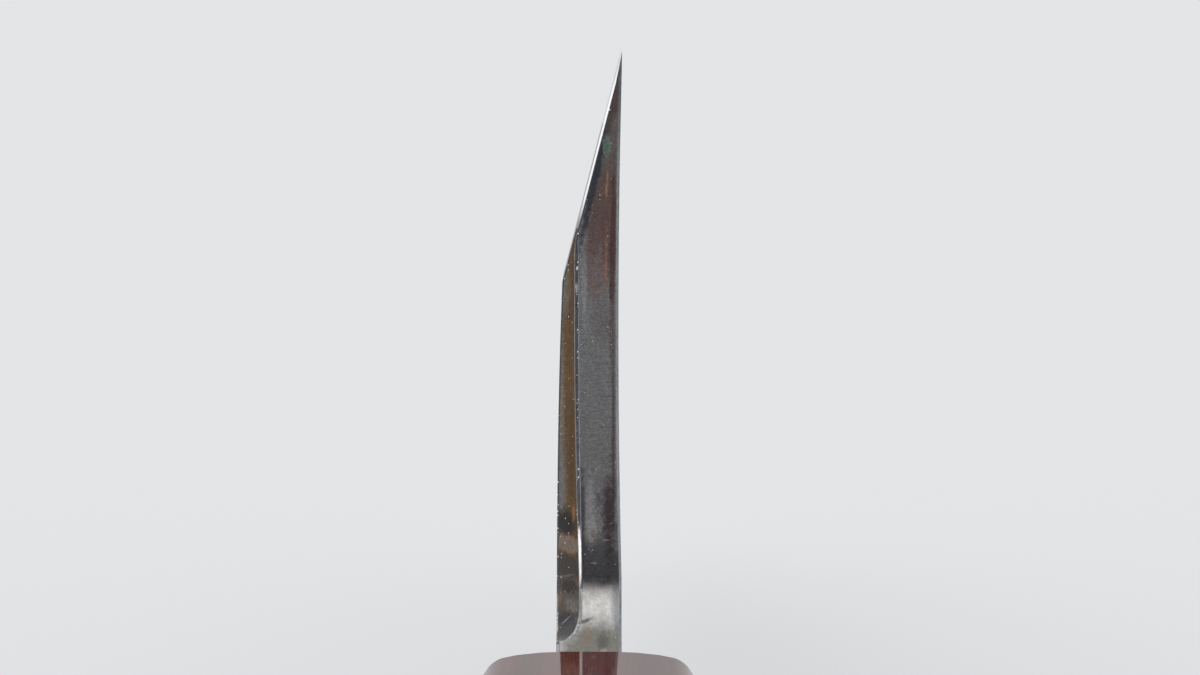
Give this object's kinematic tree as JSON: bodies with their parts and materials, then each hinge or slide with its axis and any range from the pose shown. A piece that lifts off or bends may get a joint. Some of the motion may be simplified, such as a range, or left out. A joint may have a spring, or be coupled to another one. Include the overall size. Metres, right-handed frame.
{
  "type": "deba knife",
  "caption": "Small single-bevel deba: laminated blade with a hollow back, chamfered heel and filleted neck, and an octagonal wooden handle with a ferrule.",
  "frame": {"origin": "centre of the bounding box in X and Y, on the plane of the handle's spine-side facet, which the knife stands on", "axes": "+Y from the butt of the handle to the tip of the blade, +Z from the spine to the cutting edge, +X from the bevelled face to the hollow back"},
  "size_m": [0.021, 0.254, 0.0522],
  "materials": {
    "soft_iron": "soft iron cladding, fine ground and hazed, with hairline scratches",
    "hard_steel": "hard carbon steel, polished bright",
    "ferrule_wood": "dense reddish-brown hardwood, polished to a gloss",
    "handle_wood": "reddish-brown hardwood, oiled, satin",
    "dowel_wood": "pale hardwood, bare",
    "mouth_filler": "dark resin filler"
  },
  "bodies": {
    "root": {"blade_iron": "soft_iron", "edge_steel": "hard_steel", "ferrule": "ferrule_wood", "handle_body": "handle_wood", "tang_dowel": "dowel_wood", "mouth_seal": "mouth_filler"}
  },
  "joints": []
}
